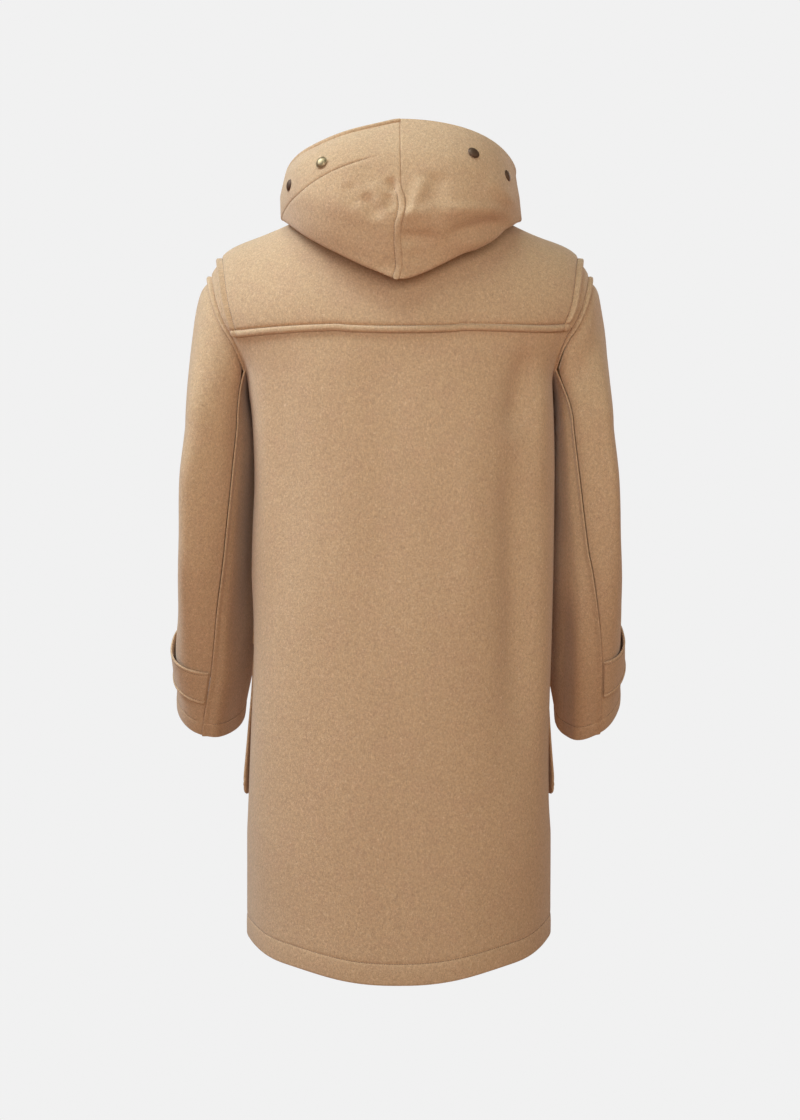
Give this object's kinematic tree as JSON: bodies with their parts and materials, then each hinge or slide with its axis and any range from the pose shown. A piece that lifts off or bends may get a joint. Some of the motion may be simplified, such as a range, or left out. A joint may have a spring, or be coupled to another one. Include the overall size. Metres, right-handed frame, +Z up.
{
  "type": "duffle coat",
  "caption": "Hooded wool duffle coat, thigh length, hollow worn form: saddle yoke, two-piece sleeves, patch pockets, toggle front.",
  "frame": {"origin": "level with the high points of the shoulder seams, midway between the two neck points, where the wearer's shoulders carry the coat", "axes": "+Z up, -Y the way the wearer faces, +X the wearer's left"},
  "size_m": [0.641, 0.3796, 1.0951],
  "materials": {
    "wool": "brushed wool",
    "leather": "smooth",
    "horn": "polished horn",
    "cord": "braided",
    "snaps": "antique"
  },
  "bodies": {
    "root": {"back": "wool", "front_left": "wool", "front_right": "wool", "yoke": "wool", "sleeve_left_upper": "wool", "sleeve_left_under": "wool", "sleeve_right_upper": "wool", "sleeve_right_under": "wool", "hood_left": "wool", "hood_right": "wool", "pocket_left": "wool", "pocket_right": "wool", "cuff_strap_left": "wool", "cuff_strap_right": "wool", "cuff_button_left": "horn", "cuff_button_right": "horn", "snap_left_rear": "snaps", "snap_left_side": "snaps", "snap_right_rear": "snaps", "snap_right_side": "snaps", "patch_left_1": "leather", "patch_right_1": "leather", "cord_loop_1": "cord", "cord_hold_1": "cord", "toggle_1": "horn", "patch_left_2": "leather", "patch_right_2": "leather", "cord_loop_2": "cord", "cord_hold_2": "cord", "toggle_2": "horn", "patch_left_3": "leather", "patch_right_3": "leather", "cord_loop_3": "cord", "cord_hold_3": "cord", "toggle_3": "horn", "patch_left_4": "leather", "patch_right_4": "leather", "cord_loop_4": "cord", "cord_hold_4": "cord", "toggle_4": "horn"}
  },
  "joints": []
}
